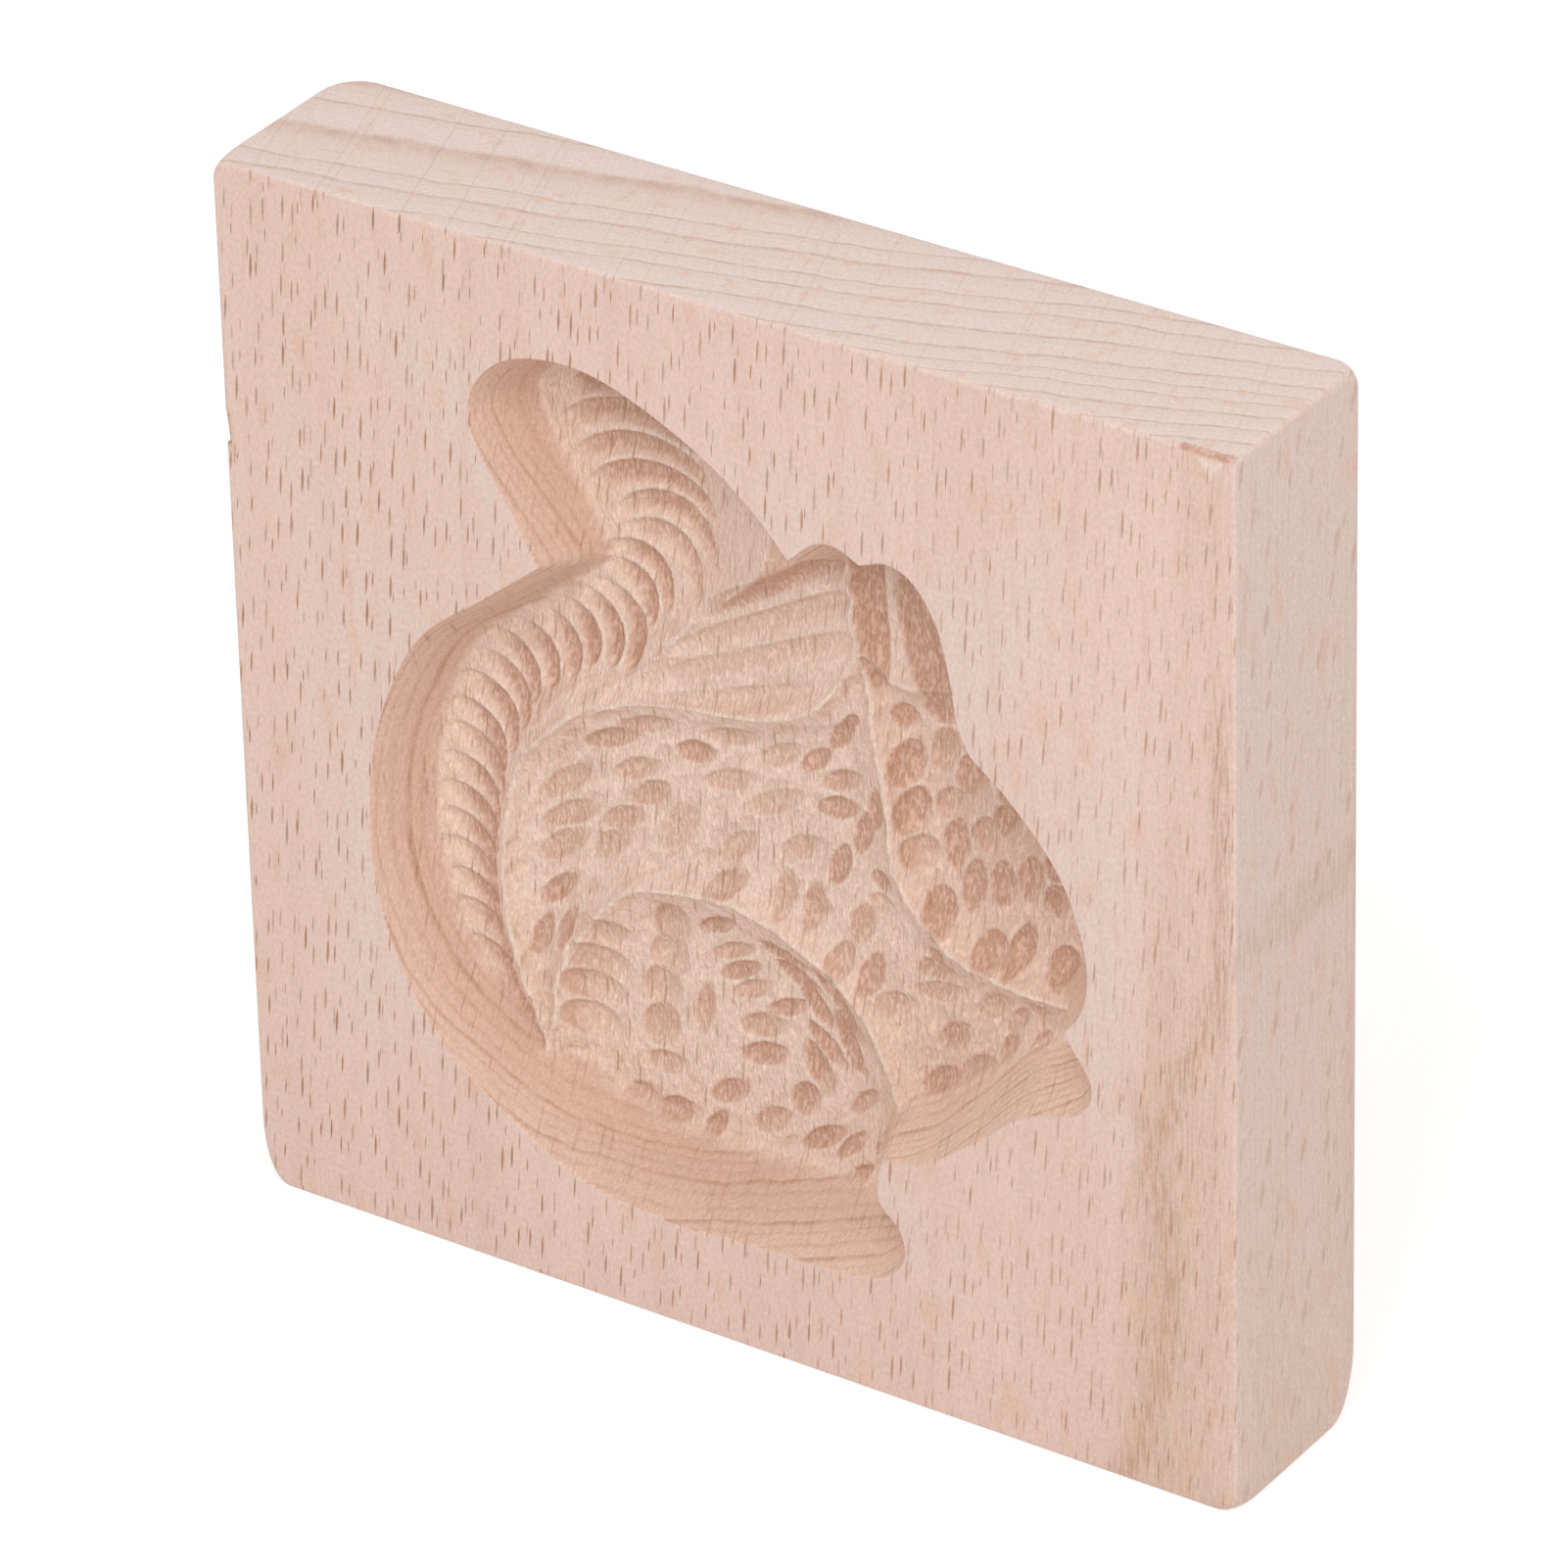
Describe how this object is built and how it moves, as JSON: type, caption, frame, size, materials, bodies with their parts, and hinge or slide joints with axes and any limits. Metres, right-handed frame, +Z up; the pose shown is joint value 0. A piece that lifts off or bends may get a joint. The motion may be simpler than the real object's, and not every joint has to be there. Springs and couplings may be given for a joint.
{
  "type": "cookie mould",
  "caption": "Square block of solid beech with a squirrel carved as a hollow into its front face, for pressing dough.",
  "frame": {"origin": "middle of the bottom edge face, under the block's centre", "axes": "+X to the right seen from the carved front, +Y from the carved front to the plain back, +Z up along the grain"},
  "size_m": [0.105, 0.02, 0.105],
  "materials": {
    "beech": "bare beech, planed and sanded, with a milled hollow"
  },
  "bodies": {
    "root": {"mould_block": "beech"}
  },
  "joints": []
}
